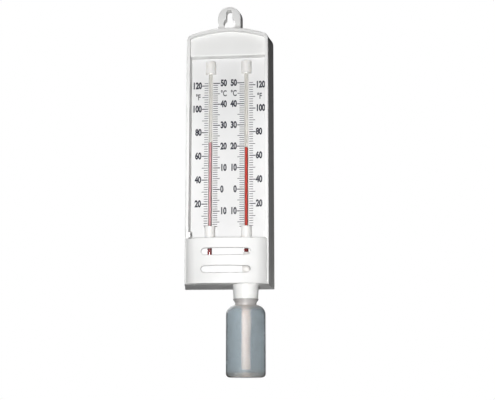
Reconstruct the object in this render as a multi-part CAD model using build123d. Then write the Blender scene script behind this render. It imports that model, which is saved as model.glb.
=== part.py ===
"""Wall-hung wet and dry bulb hygrometer, also called a Mason's psychrometer.

Two spirit thermometers stand side by side on a printed plate in a shallow moulded case. The bulbs hang
in a ventilated compartment behind a bowed, slotted cover. A cotton wick runs from the right-hand bulb down
through a threaded socket into a screw-on water bottle.

X runs to the right, Y points at the wall and Z is up, so the front faces -Y. Heights are measured from the
bottom edge of the front rim. save() then moves each part so that the origin is the centre of the
keyhole's screw-head hole, on the wall plane.
"""

import os
from math import atan, degrees, hypot, pi, radians, sin, sqrt, tan

from build123d import *

os.makedirs("parts", exist_ok=True)

# Case: the front rim is smaller than the back, because the sides have moulding draft.
CASE_WIDTH = 67.0
CASE_HEIGHT = 211.2
CASE_DEPTH = 22.0
CASE_FLARE = 3.0
DRAFT_ANGLE = degrees(atan(CASE_FLARE / CASE_DEPTH))
ARCH_RADIUS = 90.0
TOP_CORNER_RADIUS = 5.0
BOTTOM_CORNER_RADIUS = 0.9
RIM_WIDTH = 2.6
RIM_EDGE_ROUNDING = 1.0
WALL = 2.0
RIM_FRONT = -CASE_DEPTH

# How far a cutting shape runs past the face that it opens, and how far a joined shape sinks in.
CUT_PAST = 1.0
SINK = 0.5

# Recess that holds the scale plate, the raised panel above it and the bulb compartment below it.
RECESS_HALF_WIDTH = CASE_WIDTH / 2 - RIM_WIDTH
STEP_HEIGHT = 188.4
PANEL_FRONT = -17.6
PANEL_EDGE_ROUNDING = 1.2
FLOOR_FRONT = -9.5
FLOOR_BACK = FLOOR_FRONT + WALL
COMPARTMENT_TOP = 36.0
REAR_WALL_INSET = 0.5
REAR_BAR_LOW, REAR_BAR_HIGH, REAR_BAR_DEPTH = 18.8, 22.8, 3.0
RIB_THICKNESS = 1.6
RIB_SETBACK = 1.0
RIB_HEIGHTS = (76.0, 116.0, 156.0)
NIB_WIDTH, NIB_FRONT, NIB_BACK = 1.5, -21.2, -18.7
NIB_BOTTOM, NIB_TOP = 37.4, 42.0

# Hanging tab with its keyhole.
TAB_RADIUS = 9.5
TAB_CENTRE_HEIGHT = 224.8
TAB_THICKNESS = 8.0
TAB_EDGE_ROUNDING = 0.8
TAB_FOOT_RADIUS = 2.4
TAB_ROOT = 8.0
KEYHOLE_HEIGHT = 219.5
KEYHOLE_HEAD_RADIUS = 5.05
KEYHOLE_SHANK_RADIUS = 2.55
KEYHOLE_SHANK_HEIGHT = 229.2

# Scale plate.
PLATE_THICKNESS = 1.0
PLATE_FRONT = FLOOR_FRONT - PLATE_THICKNESS
PLATE_SIDE_GAP = 1.0
PLATE_TOP_GAP = 0.2
PLATE_BOTTOM = 37.4

# Thermometers. The scale is linear: heights follow from the zero mark and the length of one degree.
TUBE_X = 14.8
TUBE_Y = -12.4
STEM_RADIUS = 1.6
STEM_TOP = 177.0
BULB_RADIUS = 1.8
BULB_BOTTOM = 21.5
BULB_SHOULDER = 34.0
STEM_START = 36.5
BULB_ROOM_CHAMFER = 0.8
BORE_RADIUS = 0.65
BORE_START = STEM_START - 1.0
BORE_TOP = 171.0
GLASS_WALL = 0.35
BACKING_DEPTH = 0.5
BACKING_BOTTOM = 47.6
ZERO_CELSIUS_HEIGHT = 77.8
DEGREE_LENGTH = 1.787
DRY_READING = 21.7
WET_READING = 19.1
LIQUID_GAP = 0.03

# Holders that clip the tubes to the plate and case floor.
HOLDER_HALF_WIDTH = 4.2
TOP_HOLDER_BOTTOM, TOP_HOLDER_TOP = 174.7, 184.7
BACKING_TOP = TOP_HOLDER_BOTTOM - 0.2
LOWER_HOLDER_BOTTOM, LOWER_HOLDER_TOP = 32.5, 47.3
HOLDER_ROUNDING = 0.5
TUBE_CLEARANCE = 0.06
TUBE_END_CLEARANCE = 0.3
HOLDER_RELIEF_DEPTH = 0.4
PIN_RADIUS = 1.1
PIN_CLEARANCE = 0.12
PIN_END = FLOOR_BACK + 0.8
TOP_PIN_HEIGHTS = (180.6, 183.0)
LOWER_PIN_HEIGHTS = (40.6, 44.6)

# Bowed cover over the bulbs.
COVER_TOP = 36.4
COVER_BOTTOM = 0.2
COVER_FRONT = -30.0
COVER_WALL = 1.8
COVER_BOW_RADIUS = 110.0
COVER_BOW_HALF_WIDTH = 24.3
COVER_CORNER_RADIUS = 14.0
COVER_EDGE_ROUNDING = 0.7
COVER_GAP = 0.25
COVER_LIP_DEPTH = 3.0
COVER_LIP_THICKNESS = 1.5
SLOT_LENGTH = 40.6
SLOT_HEIGHT = 6.3
SLOT_HEIGHTS = (25.4, 11.45)
SLOT_DRAFT = 15.0

# Threaded socket under the case and the bottle that screws into it.
BOTTLE_X = 14.9
BOTTLE_Y = -17.2
SOCKET_TOP_RADIUS = 10.4
SOCKET_BOTTOM_RADIUS = 9.7
SOCKET_LENGTH = 11.4
SOCKET_BORE_RADIUS = 8.9
SOCKET_ROOF = 1.2
SPIGOT_RADIUS = 7.9
SPIGOT_HOLE_RADIUS = 6.3
SPIGOT_TOP = 3.6
SPIGOT_LIP_RADIUS = 8.35
SPIGOT_LIP_HEIGHT = WALL + 0.15
SOCKET_BEVEL = 0.3
SPIGOT_CLEARANCE = 0.1
SPOT_FACE_CLEARANCE = 0.3
TONGUE_RADIUS = 9.7
TONGUE_CLEARANCE = 0.3

THREAD_PITCH = 3.0
THREAD_DEPTH = 0.75
THREAD_ROOT_WIDTH = 1.3
THREAD_CREST_WIDTH = 0.6
THREAD_ROOT_OVERLAP = 0.3
BOTTLE_THREAD_START = -8.6
BOTTLE_THREAD_TURNS = 1.5
SOCKET_THREAD_TURNS = 1.0
THREAD_FLANK_GAP = 0.2

BOTTLE_RADIUS = 15.55
BOTTLE_BASE = -72.4
BOTTLE_WALL = 1.0
BOTTLE_MOUTH = -1.5
FINISH_RADIUS = 7.9
BEAD_RADIUS = 10.1
BEAD_TOP, BEAD_LOW, BEAD_BOTTOM = -11.6, -12.1, -14.6
NECK_RADIUS = 8.4
NECK_BOTTOM = -16.4
SHOULDER_POINT = (13.3, -18.5)
SHOULDER_BOTTOM = -24.2
BASE_ROUNDING = 3.0
BASE_DOME_HEIGHT = 3.4
BASE_DOME_RADIUS = 12.4

WATER_LEVEL = -17.4
WATER_GAP = 0.15
WATER_WICK_HOLE_RADIUS = 4.0
WICK_END_ROOM = 1.0

# Cotton: a short sock over the wet bulb, and the wick that hangs from it into the water.
WICK_DIAMETER = 6.4
SOCK_TOP = 26.2
SOCK_TOP_RADIUS = 2.5
SOCK_SHOULDER = 22.6
SOCK_BOTTOM = 18.0
SOCK_GAP = 0.1
WICK_ROUTE = (
    (TUBE_X, TUBE_Y, SOCK_BOTTOM),
    (TUBE_X, TUBE_Y, 10.5),
    (BOTTLE_X + 0.3, BOTTLE_Y + 1.2, 0.0),
    (BOTTLE_X + 0.1, BOTTLE_Y - 0.3, -14.0),
    (BOTTLE_X + 0.4, BOTTLE_Y + 0.1, -32.0),
    (BOTTLE_X - 0.1, BOTTLE_Y - 0.1, -50.0),
    (BOTTLE_X + 0.2, BOTTLE_Y + 0.1, -66.3),
)


def front_sketch(sketch):
    """A sketch drawn in X and Z, laid on the wall plane so that extruding it goes towards the front."""
    return Plane.XZ * sketch


def block(x_range, y_range, z_range):
    """A box given by its lowest and highest X, Y and Z."""
    size = [high - low for low, high in (x_range, y_range, z_range)]
    centre = [(high + low) / 2 for low, high in (x_range, y_range, z_range)]
    return Pos(*centre) * Box(*size)


def turned(points_to_sketch, axis_x, axis_y):
    """Revolves a face drawn in radius and height about an upright axis."""
    return Pos(axis_x, axis_y, 0) * revolve(Plane.XZ * points_to_sketch, Axis.Z)


def case_outline(inset):
    """Front outline of the case, arched at the top, moved inwards by inset (outwards if negative)."""
    half = CASE_WIDTH / 2 - inset
    radius = ARCH_RADIUS - inset
    centre_height = CASE_HEIGHT - ARCH_RADIUS
    shoulder = centre_height + sqrt(radius**2 - half**2)
    outline = Polyline((-half, shoulder), (-half, inset), (half, inset), (half, shoulder))
    outline += ThreePointArc((half, shoulder), (0, centre_height + radius), (-half, shoulder))
    face = make_face(outline)
    top = face.vertices().sort_by(Axis.Y)[-2:]
    face = fillet(top, TOP_CORNER_RADIUS - inset)
    bottom = face.vertices().sort_by(Axis.Y)[:2]
    return fillet(bottom, BOTTOM_CORNER_RADIUS)


def outline_between(inset, low, high):
    """The part of the case outline between two heights."""
    band = Pos(0, (low + high) / 2) * Rectangle(2 * CASE_WIDTH, high - low)
    return case_outline(inset) & band


def slice_through(sketch, y_front, y_back):
    """Extrudes an X-Z sketch between two depths."""
    return Pos(0, y_back, 0) * extrude(front_sketch(sketch), y_back - y_front)


def case_block():
    """Outside of the case as a solid: sides with draft and a rounded front edge."""
    body = extrude(front_sketch(case_outline(-CASE_FLARE)), CASE_DEPTH, taper=DRAFT_ANGLE)
    rim_edges = body.faces().sort_by(Axis.Y)[0].edges()
    return fillet(rim_edges, RIM_EDGE_ROUNDING)


def make_hanging_lug():
    """Lug on top of the case at the wall plane, with draft, small concave feet and the keyhole."""
    flare = TAB_THICKNESS * CASE_FLARE / CASE_DEPTH
    radius = TAB_RADIUS + flare
    foot_radius = TAB_FOOT_RADIUS - flare
    side_height = TAB_CENTRE_HEIGHT - CASE_HEIGHT + TAB_ROOT
    body = Pos(0, TAB_CENTRE_HEIGHT - side_height / 2) * Rectangle(2 * radius, side_height)
    body += Pos(0, TAB_CENTRE_HEIGHT) * Circle(radius)
    foot_top = CASE_HEIGHT + CASE_FLARE + foot_radius
    foot_half = radius + foot_radius
    body += Pos(0, foot_top - TAB_ROOT / 2) * Rectangle(2 * foot_half, TAB_ROOT)
    for side in (-1, 1):
        body -= Pos(side * foot_half, foot_top) * Circle(foot_radius)
    tab = extrude(front_sketch(body), TAB_THICKNESS, taper=DRAFT_ANGLE)
    crown = [edge for edge in tab.faces().sort_by(Axis.Y)[0].edges() if edge.center().Z > foot_top]
    return fillet(crown, TAB_EDGE_ROUNDING) - case_block() - keyhole()


def keyhole():
    """Round hole for a screw's head, with a narrow slot above it for the shank."""
    slot_length = KEYHOLE_SHANK_HEIGHT - KEYHOLE_HEIGHT
    shape = Pos(0, KEYHOLE_HEIGHT) * Circle(KEYHOLE_HEAD_RADIUS)
    shape += Pos(0, KEYHOLE_HEIGHT + slot_length / 2) * Rectangle(2 * KEYHOLE_SHANK_RADIUS, slot_length)
    shape += Pos(0, KEYHOLE_SHANK_HEIGHT) * Circle(KEYHOLE_SHANK_RADIUS)
    return slice_through(shape, -TAB_THICKNESS - CUT_PAST, CUT_PAST)


def socket_seat():
    """Tongue that carries the socket's front half out under the cover."""
    tongue = Pos(BOTTLE_X, BOTTLE_Y, WALL / 2) * Cylinder(TONGUE_RADIUS, WALL)
    bridge = block(
        (BOTTLE_X - TONGUE_RADIUS, BOTTLE_X + TONGUE_RADIUS), (RIM_FRONT + SINK, BOTTLE_Y), (0, WALL)
    )
    return tongue + bridge


def pin_holes(y_front, y_back):
    """Clearance holes for the pins of all four holders."""
    length = y_back - y_front
    holes = []
    for side in (-1, 1):
        for height in TOP_PIN_HEIGHTS + LOWER_PIN_HEIGHTS:
            place = Pos(side * TUBE_X, (y_front + y_back) / 2, height) * Rot(90, 0, 0)
            holes.append(place * Cylinder(PIN_RADIUS + PIN_CLEARANCE, length))
    return holes


def make_case():
    body = case_block()

    # Front recesses.
    before_rim = RIM_FRONT - CUT_PAST
    body -= slice_through(outline_between(RIM_WIDTH, STEP_HEIGHT, CASE_HEIGHT), before_rim, PANEL_FRONT)
    recess_x = (-RECESS_HALF_WIDTH, RECESS_HALF_WIDTH)
    body -= block(recess_x, (before_rim, FLOOR_FRONT), (WALL, STEP_HEIGHT))
    body -= block(recess_x, (FLOOR_FRONT - CUT_PAST, CUT_PAST), (WALL, COMPARTMENT_TOP))

    # Hollow back, deeper behind the raised panel.
    body -= slice_through(outline_between(REAR_WALL_INSET, -WALL, CASE_HEIGHT), FLOOR_BACK, CUT_PAST)
    panel_back = PANEL_FRONT + WALL
    body -= slice_through(outline_between(RIM_WIDTH, STEP_HEIGHT + WALL, CASE_HEIGHT), panel_back, 0)

    # Stiffening ribs on the floor's back, and a bar across the open compartment.
    across = (-CASE_WIDTH / 2, CASE_WIDTH / 2)
    half = RIB_THICKNESS / 2
    for height in (*RIB_HEIGHTS, COMPARTMENT_TOP + half):
        body += block(across, (FLOOR_BACK - SINK, -RIB_SETBACK), (height - half, height + half))
    body += block(across, (-REAR_BAR_DEPTH, 0), (REAR_BAR_LOW, REAR_BAR_HIGH))

    # Soft lower edge of the raised panel.
    lower_edge = body.edges().filter_by(Axis.X).sort_by_distance((0, PANEL_FRONT, STEP_HEIGHT))[0]
    body = fillet(lower_edge, PANEL_EDGE_ROUNDING)

    # Nibs on the side walls, just above the cover's corners.
    for side in (-1, 1):
        inner, outer = RECESS_HALF_WIDTH - NIB_WIDTH, RECESS_HALF_WIDTH + SINK
        body += block(sorted((side * inner, side * outer)), (NIB_FRONT, NIB_BACK), (NIB_BOTTOM, NIB_TOP))

    # Seat for the bottle socket.
    body += socket_seat()
    body -= Pos(BOTTLE_X, BOTTLE_Y, 0) * Cylinder(SPIGOT_RADIUS + SPIGOT_CLEARANCE, 3 * WALL)
    spot_face = Cylinder(SOCKET_TOP_RADIUS + SPOT_FACE_CLEARANCE, 2 * CASE_FLARE)
    body -= Pos(BOTTLE_X, BOTTLE_Y, -CASE_FLARE) * spot_face

    for hole in pin_holes(FLOOR_FRONT - CUT_PAST, FLOOR_BACK + CUT_PAST):
        body -= hole
    return body


def make_scale_plate():
    half = RECESS_HALF_WIDTH - PLATE_SIDE_GAP
    plate = block((-half, half), (PLATE_FRONT, FLOOR_FRONT), (PLATE_BOTTOM, STEP_HEIGHT - PLATE_TOP_GAP))
    for hole in pin_holes(PLATE_FRONT - CUT_PAST, FLOOR_FRONT + CUT_PAST):
        plate -= hole
    return plate


def cover_plan(inset):
    """Plan of the bow: a shallow middle arc, two tighter corner arcs and a straight back."""
    middle = COVER_BOW_RADIUS - inset
    corner = COVER_CORNER_RADIUS - inset
    centre_y = COVER_FRONT + COVER_BOW_RADIUS
    lean = COVER_BOW_HALF_WIDTH / COVER_BOW_RADIUS
    upright = sqrt(1 - lean**2)
    joint = (middle * lean, centre_y - middle * upright)
    reach = COVER_BOW_RADIUS - COVER_CORNER_RADIUS
    corner_centre = (reach * lean, centre_y - reach * upright)
    drop = corner_centre[1] - RIM_FRONT
    end = (corner_centre[0] + sqrt(corner**2 - drop**2), RIM_FRONT)
    toward = (joint[0] + end[0] - 2 * corner_centre[0], joint[1] + end[1] - 2 * corner_centre[1])
    scale = corner / hypot(*toward)
    on_corner = (corner_centre[0] + toward[0] * scale, corner_centre[1] + toward[1] * scale)

    def mirrored(point):
        return (-point[0], point[1])

    outline = ThreePointArc(mirrored(joint), (0, COVER_FRONT + inset), joint)
    outline += ThreePointArc(joint, on_corner, end)
    outline += Line(end, mirrored(end))
    outline += ThreePointArc(mirrored(end), mirrored(on_corner), mirrored(joint))
    return make_face(outline)


def cover_slot(height):
    """Ventilation slot with round ends, narrowing inwards because its walls have draft."""
    depth = RIM_FRONT - COVER_WALL - COVER_FRONT
    widen = 2 * depth * tan(radians(SLOT_DRAFT))
    inner = front_sketch(SlotOverall(SLOT_LENGTH - widen, SLOT_HEIGHT - widen))
    slot = extrude(inner, depth + CUT_PAST, taper=-SLOT_DRAFT)
    return Pos(0, RIM_FRONT - COVER_WALL, height) * slot


def make_bulb_cover():
    body = Pos(0, 0, COVER_BOTTOM) * extrude(cover_plan(0), COVER_TOP - COVER_BOTTOM)
    ends = body.faces().filter_by(Axis.Z)
    rounded = ends.edges().filter_by(GeomType.CIRCLE)
    body = fillet(rounded, COVER_EDGE_ROUNDING)
    hollow = extrude(cover_plan(COVER_WALL), COVER_TOP - COVER_BOTTOM - 2 * COVER_WALL)
    body -= Pos(0, 0, COVER_BOTTOM + COVER_WALL) * hollow
    for height in SLOT_HEIGHTS:
        body -= cover_slot(height)

    # Lip that slips inside the case, all round but the bottom, and a roof that reaches the plate.
    lip_half = RECESS_HALF_WIDTH - COVER_GAP
    lip_y = (RIM_FRONT - SINK, RIM_FRONT + COVER_LIP_DEPTH)
    lip_z = (WALL + COVER_GAP, COVER_TOP - COVER_WALL)
    for side in (-1, 1):
        lip_x = sorted((side * (lip_half - COVER_LIP_THICKNESS), side * lip_half))
        body += block(lip_x, lip_y, lip_z)
    roof_y = (RIM_FRONT - SINK, PLATE_FRONT - COVER_GAP)
    roof = block((-lip_half, lip_half), roof_y, (COVER_TOP - COVER_WALL, COVER_TOP))
    for side in (-1, 1):
        reach = HOLDER_HALF_WIDTH + COVER_GAP
        notch_x = (side * TUBE_X - reach, side * TUBE_X + reach)
        notch_front = TUBE_Y - HOLDER_HALF_WIDTH - COVER_GAP
        roof -= block(notch_x, (notch_front, 0), (0, 2 * COVER_TOP))
    body += roof

    # Room for the tongue and the socket below it.
    clearance = Cylinder(TONGUE_RADIUS + TONGUE_CLEARANCE, 2 * (COVER_BOTTOM + COVER_WALL + COVER_GAP))
    return body - Pos(BOTTLE_X, BOTTLE_Y, 0) * clearance


def rod_profile(points):
    """Closed radius-height outline from the axis and back to it."""
    low, high = points[0][1], points[-1][1]
    return make_face(Polyline((0, low), *points, (0, high), close=True))


def glass_outside():
    """Outside of the tube: a round-tipped bulb, a short taper and a straight stem with a round top."""
    bulb_centre = BULB_BOTTOM + BULB_RADIUS
    bulb_side = (BULB_RADIUS, bulb_centre)
    stem_side = (STEM_RADIUS, STEM_TOP - STEM_RADIUS)
    foot, top = (0, BULB_BOTTOM), (0, STEM_TOP)
    halfway = sin(pi / 4)
    on_foot = (BULB_RADIUS * halfway, bulb_centre - BULB_RADIUS * halfway)
    on_top = (STEM_RADIUS * halfway, STEM_TOP - STEM_RADIUS * (1 - halfway))
    path = ThreePointArc(foot, on_foot, bulb_side)
    path += Polyline(bulb_side, (BULB_RADIUS, BULB_SHOULDER), (STEM_RADIUS, STEM_START), stem_side)
    path += ThreePointArc(stem_side, on_top, top)
    path += Line(top, foot)
    return make_face(path)


def glass_inside(level, gap):
    """The space inside the glass, or the liquid in it up to a level, kept gap away from the glass."""
    bulb = BULB_RADIUS - GLASS_WALL - gap
    tip = BULB_BOTTOM + GLASS_WALL + gap
    bore = BORE_RADIUS - gap
    return rod_profile(
        [
            (bulb - BULB_ROOM_CHAMFER, tip),
            (bulb, tip + BULB_ROOM_CHAMFER),
            (bulb, BULB_SHOULDER - gap),
            (bore, BORE_START - gap),
            (bore, level),
        ]
    )


def make_stem(side):
    glass = turned(glass_outside(), side * TUBE_X, TUBE_Y)
    glass -= turned(glass_inside(BORE_TOP, 0), side * TUBE_X, TUBE_Y)
    return glass - backing_block(side)


def backing_block(side):
    """The back of the stem, where a strip of white enamel replaces the clear glass."""
    x_range = (side * TUBE_X - 2 * STEM_RADIUS, side * TUBE_X + 2 * STEM_RADIUS)
    y_range = (TUBE_Y + STEM_RADIUS - BACKING_DEPTH, TUBE_Y + STEM_RADIUS)
    return block(x_range, y_range, (BACKING_BOTTOM, BACKING_TOP))


def make_backing_strip(side):
    rod = Pos(side * TUBE_X, TUBE_Y, STEM_TOP / 2) * Cylinder(STEM_RADIUS, STEM_TOP)
    return rod & backing_block(side)


def make_spirit(side, reading):
    level = ZERO_CELSIUS_HEIGHT + reading * DEGREE_LENGTH
    return turned(glass_inside(level, LIQUID_GAP), side * TUBE_X, TUBE_Y)


def make_holder(side, low, high, pin_heights, closed_top):
    """Half-round saddle over the tube with two pins through the plate and the case floor."""
    across = (-HOLDER_HALF_WIDTH, HOLDER_HALF_WIDTH)
    front = upright_rod(HOLDER_HALF_WIDTH, low, high) & block(across, (-CASE_DEPTH, TUBE_Y), (low, high))
    body = front + block(across, (TUBE_Y, PLATE_FRONT), (low, high))
    ends = body.faces().filter_by(Axis.Z).edges().filter_by(GeomType.CIRCLE)
    body = fillet(ends, HOLDER_ROUNDING)
    stem_top = STEM_TOP + TUBE_END_CLEARANCE if closed_top else high + CUT_PAST
    body -= upright_rod(STEM_RADIUS + TUBE_CLEARANCE, low - CUT_PAST, stem_top)
    if not closed_top:
        bulb_top = STEM_START + TUBE_END_CLEARANCE
        body -= upright_rod(BULB_RADIUS + TUBE_CLEARANCE, low - CUT_PAST, bulb_top)
        relief_z = (low - CUT_PAST, PLATE_BOTTOM + HOLDER_RELIEF_DEPTH)
        body -= block(across, (PLATE_FRONT - HOLDER_RELIEF_DEPTH, 0), relief_z)
    length = PIN_END - PLATE_FRONT
    for height in pin_heights:
        pin = Rot(90, 0, 0) * Cylinder(PIN_RADIUS, length)
        body += Pos(0, PIN_END - length / 2, height) * pin
    return Pos(side * TUBE_X, 0, 0) * body


def upright_rod(radius, low, high):
    """A cylinder between two heights at the tubes' distance from the wall."""
    return Pos(0, TUBE_Y, (low + high) / 2) * Cylinder(radius, high - low)


def thread_ridge(root_radius, outward, start, turns):
    """Helical ridge of trapezium section on a cylinder, pointing outward (1) or inward (-1)."""
    path = Helix(THREAD_PITCH, THREAD_PITCH * turns, root_radius)
    inside = -outward * THREAD_ROOT_OVERLAP
    crest = outward * THREAD_DEPTH
    section = Polyline(
        (inside, -THREAD_ROOT_WIDTH / 2),
        (crest, -THREAD_CREST_WIDTH / 2),
        (crest, THREAD_CREST_WIDTH / 2),
        (inside, THREAD_ROOT_WIDTH / 2),
        close=True,
    )
    profile = Plane(origin=path @ 0, x_dir=(1, 0, 0), z_dir=(0, -1, 0)) * make_face(section)
    ridge = sweep(profile, path=path, is_frenet=True)
    return Pos(BOTTLE_X, BOTTLE_Y, start) * ridge


def make_bottle_socket():
    bottom = -SOCKET_LENGTH
    bevel = SOCKET_BEVEL
    outline = Polyline(
        (SPIGOT_HOLE_RADIUS, -SOCKET_ROOF),
        (SOCKET_BORE_RADIUS, -SOCKET_ROOF),
        (SOCKET_BORE_RADIUS, bottom + bevel),
        (SOCKET_BORE_RADIUS + bevel, bottom),
        (SOCKET_BOTTOM_RADIUS - bevel, bottom),
        (SOCKET_BOTTOM_RADIUS, bottom + bevel),
        (SOCKET_TOP_RADIUS, -bevel),
        (SOCKET_TOP_RADIUS - bevel, 0),
        (SPIGOT_RADIUS, 0),
        (SPIGOT_RADIUS, SPIGOT_LIP_HEIGHT),
        (SPIGOT_LIP_RADIUS, SPIGOT_LIP_HEIGHT),
        (SPIGOT_LIP_RADIUS, SPIGOT_LIP_HEIGHT + bevel),
        (SPIGOT_RADIUS - bevel, SPIGOT_TOP),
        (SPIGOT_HOLE_RADIUS, SPIGOT_TOP),
        close=True,
    )
    socket = turned(make_face(outline), BOTTLE_X, BOTTLE_Y)
    # Halfway between the two roots both ridges are equally wide, and the bottle's rides just above the other.
    mid_depth = (SOCKET_BORE_RADIUS - FINISH_RADIUS) / 2
    ridge_width = THREAD_ROOT_WIDTH - (THREAD_ROOT_WIDTH - THREAD_CREST_WIDTH) * mid_depth / THREAD_DEPTH
    start = BOTTLE_THREAD_START + THREAD_PITCH - ridge_width - THREAD_FLANK_GAP
    return socket + thread_ridge(SOCKET_BORE_RADIUS, -1, start, SOCKET_THREAD_TURNS)


def bottle_profile(inset, mouth):
    """Radius-height face of the bottle's outside, or of what is inset from it all round."""
    wide = BOTTLE_RADIUS - inset
    neck = NECK_RADIUS - inset
    finish = FINISH_RADIUS - inset
    base = BOTTLE_BASE + inset
    corner = BASE_ROUNDING - inset
    dome_top = (0, base + BASE_DOME_HEIGHT)
    on_dome = (BASE_DOME_RADIUS * 0.55, base + BASE_DOME_HEIGHT * 0.72)
    dome_edge = (BASE_DOME_RADIUS, base)
    on_corner = (wide - corner * (1 - sin(pi / 4)), base + corner * (1 - sin(pi / 4)))
    slant = inset * sin(pi / 4)
    on_shoulder = (SHOULDER_POINT[0] - slant, SHOULDER_POINT[1] - slant)
    neck_foot = (neck, NECK_BOTTOM)
    path = ThreePointArc(dome_top, on_dome, dome_edge)
    path += Line(dome_edge, (wide - corner, base))
    path += ThreePointArc((wide - corner, base), on_corner, (wide, base + corner))
    path += Line((wide, base + corner), (wide, SHOULDER_BOTTOM))
    path += ThreePointArc((wide, SHOULDER_BOTTOM), on_shoulder, neck_foot)
    if inset:
        neck_points = [neck_foot, (neck, BEAD_LOW), (finish, BEAD_TOP)]
    else:
        neck_points = [neck_foot, (neck, BEAD_BOTTOM), (BEAD_RADIUS, BEAD_LOW), (BEAD_RADIUS, BEAD_TOP)]
        neck_points.append((finish, BEAD_TOP))
    path += Polyline(*neck_points, (finish, mouth), (0, mouth), dome_top)
    return make_face(path)


def make_bottle():
    outside = turned(bottle_profile(0, BOTTLE_MOUTH), BOTTLE_X, BOTTLE_Y)
    inside = turned(bottle_profile(BOTTLE_WALL, BOTTLE_MOUTH + CUT_PAST), BOTTLE_X, BOTTLE_Y)
    bottle = outside - inside
    return bottle + thread_ridge(FINISH_RADIUS, 1, BOTTLE_THREAD_START, BOTTLE_THREAD_TURNS)


def make_water():
    filled = turned(bottle_profile(BOTTLE_WALL + WATER_GAP, BOTTLE_MOUTH), BOTTLE_X, BOTTLE_Y)
    above = Pos(BOTTLE_X, BOTTLE_Y, 0) * Cylinder(BOTTLE_RADIUS, -2 * WATER_LEVEL)
    room_bottom = WICK_ROUTE[-1][2] - WICK_END_ROOM
    room = Pos(BOTTLE_X, BOTTLE_Y, room_bottom / 2) * Cylinder(WATER_WICK_HOLE_RADIUS, -room_bottom)
    return filled - above - room


def make_wick_sock():
    """Cotton sleeve pulled over the lower half of the wet bulb, closed where the wick starts."""
    outside = Polyline(
        (0, SOCK_BOTTOM),
        (WICK_DIAMETER / 2, SOCK_BOTTOM),
        (WICK_DIAMETER / 2, SOCK_SHOULDER),
        (SOCK_TOP_RADIUS, SOCK_TOP),
        (0, SOCK_TOP),
        close=True,
    )
    room_radius = BULB_RADIUS + SOCK_GAP
    room_base = BULB_BOTTOM + BULB_RADIUS
    room = Pos(0, 0, SOCK_TOP) * Cylinder(room_radius, 2 * (SOCK_TOP - room_base))
    room += Pos(0, 0, room_base) * Sphere(room_radius)
    return turned(make_face(outside), TUBE_X, TUBE_Y) - Pos(TUBE_X, TUBE_Y, 0) * room


def bend_radius(before, corner, after):
    """Largest gentle arc at a corner of the wick's route: 0.45 of the shorter run over tan(turn / 2)."""
    first = Vector(*corner) - Vector(*before)
    second = Vector(*after) - Vector(*corner)
    turn = radians(first.get_angle(second))
    return 0.45 * min(first.length, second.length) / tan(turn / 2)


def make_wick():
    corners = zip(WICK_ROUTE, WICK_ROUTE[1:], WICK_ROUTE[2:])
    radii = [bend_radius(*corner) for corner in corners]
    path = FilletPolyline(*WICK_ROUTE, radius=radii)
    print("wick bend radii", [round(r) for r in radii], "length", round(path.length, 1))
    start = Plane(origin=path @ 0, z_dir=path % 0)
    return sweep(start * Circle(WICK_DIAMETER / 2), path=path)


def save(name, shape):
    """Writes one part, moved into the frame whose origin is the keyhole's head hole."""
    moved = Pos(0, 0, -KEYHOLE_HEIGHT) * shape
    export_step(moved.solids()[0], f"parts/{name}.step")


SIDES = {"dry": (-1, DRY_READING), "wet": (1, WET_READING)}

save("case_shell", make_case())
save("hanging_lug", make_hanging_lug())
save("scale_plate", make_scale_plate())
save("bulb_cover", make_bulb_cover())
save("bottle_socket", make_bottle_socket())
save("bottle", make_bottle())
save("water", make_water())
save("wick_sock", make_wick_sock())
save("wick", make_wick())
for name, (side, reading) in SIDES.items():
    top_holder = make_holder(side, TOP_HOLDER_BOTTOM, TOP_HOLDER_TOP, TOP_PIN_HEIGHTS, True)
    lower_holder = make_holder(side, LOWER_HOLDER_BOTTOM, LOWER_HOLDER_TOP, LOWER_PIN_HEIGHTS, False)
    save(f"{name}_stem", make_stem(side))
    save(f"{name}_backing_strip", make_backing_strip(side))
    save(f"{name}_spirit", make_spirit(side, reading))
    save(f"{name}_top_holder", top_holder)
    save(f"{name}_lower_holder", lower_holder)
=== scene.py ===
"""The looks of a wall-hung wet and dry bulb hygrometer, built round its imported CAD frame.

Everything is in metres, in the CAD frame: the origin is the keyhole's head hole on the wall plane, the
scale faces -Y and +Z is up.
"""

import math

import bmesh
import bpy
import numpy as np
from mathutils import Matrix, Vector


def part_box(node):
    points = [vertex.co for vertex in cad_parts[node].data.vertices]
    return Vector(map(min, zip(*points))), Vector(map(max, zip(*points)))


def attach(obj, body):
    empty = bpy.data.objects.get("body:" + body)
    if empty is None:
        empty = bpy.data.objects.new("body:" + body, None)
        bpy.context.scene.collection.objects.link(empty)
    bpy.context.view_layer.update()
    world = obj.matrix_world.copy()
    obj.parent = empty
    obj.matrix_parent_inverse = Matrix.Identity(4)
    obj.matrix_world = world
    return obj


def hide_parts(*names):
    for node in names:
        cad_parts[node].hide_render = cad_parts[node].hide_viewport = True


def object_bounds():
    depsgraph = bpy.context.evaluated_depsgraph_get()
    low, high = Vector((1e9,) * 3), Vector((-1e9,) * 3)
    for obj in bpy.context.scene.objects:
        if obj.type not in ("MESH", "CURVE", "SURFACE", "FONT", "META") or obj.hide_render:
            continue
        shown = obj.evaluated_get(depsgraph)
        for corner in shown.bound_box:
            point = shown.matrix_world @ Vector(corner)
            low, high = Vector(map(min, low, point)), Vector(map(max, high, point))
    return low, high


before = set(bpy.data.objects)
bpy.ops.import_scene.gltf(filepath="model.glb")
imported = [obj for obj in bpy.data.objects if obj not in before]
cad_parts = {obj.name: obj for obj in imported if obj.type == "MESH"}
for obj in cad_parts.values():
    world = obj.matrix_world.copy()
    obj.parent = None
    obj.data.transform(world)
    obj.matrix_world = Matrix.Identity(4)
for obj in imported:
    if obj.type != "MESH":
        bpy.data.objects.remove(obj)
CAD_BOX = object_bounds()

MM = 0.001

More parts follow.
